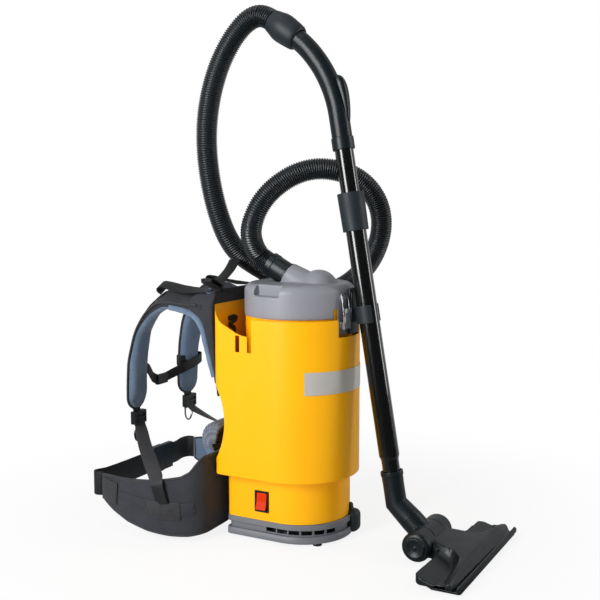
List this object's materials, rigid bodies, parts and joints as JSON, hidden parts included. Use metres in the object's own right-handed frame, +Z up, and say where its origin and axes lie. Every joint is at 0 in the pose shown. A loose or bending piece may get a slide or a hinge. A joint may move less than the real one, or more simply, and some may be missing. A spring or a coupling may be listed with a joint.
{
  "type": "backpack vacuum cleaner",
  "caption": "Backpack vacuum cleaner: dust tank and motor in a plastic sleeve on a padded harness, with a long hose, a telescopic wand parked on a clip and a floor tool.",
  "frame": {"origin": "on the axis of the dust tank, at the floor, under the middle foot", "axes": "+Z up; -Y is the front, where the wand is parked; +Y is the harness side"},
  "size_m": [0.3454, 0.7095, 0.9292],
  "materials": {
    "yellow_shell": "moulded ABS, satin gloss",
    "grey_shell": "moulded ABS, fine texture",
    "black_plastic": "moulded polypropylene, satin",
    "gloss_tube": "polished black tube",
    "hose_black": "corrugated flexible hose",
    "rocker_red": "clear red polycarbonate",
    "label_silver": "plain silver plate, no lettering",
    "steel_wire": "zinc plated steel",
    "steel_motor": "plain steel",
    "armature_copper": "wound copper wire",
    "fan_metal": "pressed aluminium",
    "soft_rubber": "moulded rubber",
    "brush_hair": "stiff bristle strip",
    "filter_cloth": "woven filter cloth",
    "bag_paper": "filter paper",
    "harness_fabric": "woven polyester over foam",
    "webbing_black": "woven polyester webbing"
  },
  "bodies": {
    "root": {"rubber_feet": "soft_rubber", "base_plate": "grey_shell", "base_screws": "steel_wire", "base_ring": "grey_shell", "motor_housing": "yellow_shell", "switch_frame": "black_plastic", "cord_inlet": "black_plastic", "motor_frame": "steel_motor", "motor_stator": "steel_motor", "motor_bearings": "steel_motor", "motor_fan_case": "black_plastic", "motor_seals": "soft_rubber", "exhaust_filter": "filter_cloth", "tank": "yellow_shell", "filter_ring": "black_plastic", "cloth_filter": "filter_cloth", "dust_bag": "bag_paper", "outer_sleeve": "yellow_shell", "strap_anchors": "black_plastic", "label_plate": "label_silver", "hose": "hose_black", "outer_tube": "gloss_tube", "wand_clip": "black_plastic", "latch_bracket": "steel_wire", "elbow": "black_plastic", "back_pad": "harness_fabric", "lumbar_pad": "harness_fabric", "hip_belt_back": "harness_fabric", "hip_belt_wings": "harness_fabric", "waist_webbing": "webbing_black", "waist_buckle_socket": "black_plastic", "waist_buckle_plug": "black_plastic", "shoulder_straps": "harness_fabric", "ladder_locks": "black_plastic", "lower_webbing": "webbing_black", "chest_strap": "webbing_black", "chest_buckle": "black_plastic", "hose_holder_strap": "webbing_black"},
    "rocker": {"rocker_switch": "rocker_red"},
    "rotor": {"motor_shaft": "steel_motor", "motor_armature": "armature_copper", "impeller": "fan_metal"},
    "lid": {"lid": "grey_shell", "lid_gasket": "soft_rubber"},
    "lid_cuff": {"hose_cuff_lid": "black_plastic"},
    "lever": {"latch_lever": "steel_wire"},
    "bail": {"latch_bail": "steel_wire"},
    "lock": {"lock_sleeve": "black_plastic"},
    "handle": {"inner_tube": "gloss_tube", "handle_collar": "black_plastic", "handle_grip": "black_plastic"},
    "air_slider": {"suction_slider": "black_plastic"},
    "handle_cuff": {"hose_cuff_handle": "black_plastic"},
    "knuckle": {"knuckle": "black_plastic"},
    "head": {"tool_head": "black_plastic", "knuckle_caps": "black_plastic", "sole_plate": "black_plastic", "brush_strips": "brush_hair"},
    "hook": {"strap_hook": "black_plastic"},
    "ring": {"strap_ring": "steel_wire"}
  },
  "joints": [
    {"name": "rocker_tilt", "type": "hinge", "parent": "root", "child": "rocker", "pos_m": [-0.086, 0.028, 0.072], "axis": [0, -1, 0], "range_deg": [0, 20]},
    {"name": "motor_spin", "type": "hinge", "parent": "root", "child": "rotor", "pos_m": [0, 0, 0.06], "axis": [0, 0, 1], "continuous": true},
    {"name": "lid_lift", "type": "slide", "parent": "root", "child": "lid", "axis": [0, 0, 1], "range_m": [0, 0.03], "deforming": ["hose"]},
    {"name": "lid_cuff_swivel", "type": "hinge", "parent": "lid", "child": "lid_cuff", "pos_m": [0, 0.022, 0.4585], "axis": [0, 0.8829, 0.4695], "continuous": true},
    {"name": "lever_flip", "type": "hinge", "parent": "root", "child": "lever", "pos_m": [-0.02576, -0.10334, 0.382], "axis": [0.9703, -0.2419, 0], "range_deg": [0, 150.5]},
    {"name": "bail_swing", "type": "hinge", "parent": "lever", "child": "bail", "pos_m": [-0.02596, -0.10411, 0.398], "axis": [0.9703, -0.2419, 0], "range_deg": [-110.5, 0]},
    {"name": "lock_slide", "type": "slide", "parent": "root", "child": "lock", "axis": [0, 0.1683, 0.9857], "range_m": [0, 0.008], "stiffness_N_per_m": 400, "springref_m": -0.004},
    {"name": "telescope", "type": "slide", "parent": "root", "child": "handle", "axis": [0, 0.1683, 0.9857], "range_m": [-0.06, 0.28], "deforming": ["hose"]},
    {"name": "air_slide", "type": "hinge", "parent": "handle", "child": "air_slider", "pos_m": [0, 0.13687, 0.69614], "axis": [-1, 0, 0], "range_deg": [0, 3.2]},
    {"name": "handle_cuff_swivel", "type": "hinge", "parent": "handle", "child": "handle_cuff", "pos_m": [0, 0.01568, 0.87373], "axis": [0, 0.826, 0.5637], "continuous": true},
    {"name": "knuckle_swivel", "type": "hinge", "parent": "root", "child": "knuckle", "pos_m": [0, -0.244, 0.0265], "axis": [0, 0.7443, 0.6678], "continuous": true},
    {"name": "head_tilt", "type": "hinge", "parent": "knuckle", "child": "head", "pos_m": [0, -0.244, 0.0265], "axis": [1, 0, 0], "range_deg": [-20, 60]},
    {"name": "hook_swing", "type": "hinge", "parent": "root", "child": "hook", "pos_m": [-0.0825, 0.2962, 0.1763], "axis": [1, 0, 0], "range_deg": [-2, 60]},
    {"name": "ring_swing", "type": "hinge", "parent": "root", "child": "ring", "pos_m": [0.0825, 0.2962, 0.1776], "axis": [1, 0, 0], "range_deg": [-2, 60]}
  ],
  "couplings": [
    {"joint": "lever_flip", "follows": "lid_lift", "rad_per_m": 87.266},
    {"joint": "bail_swing", "follows": "lid_lift", "rad_per_m": -63.995}
  ]
}
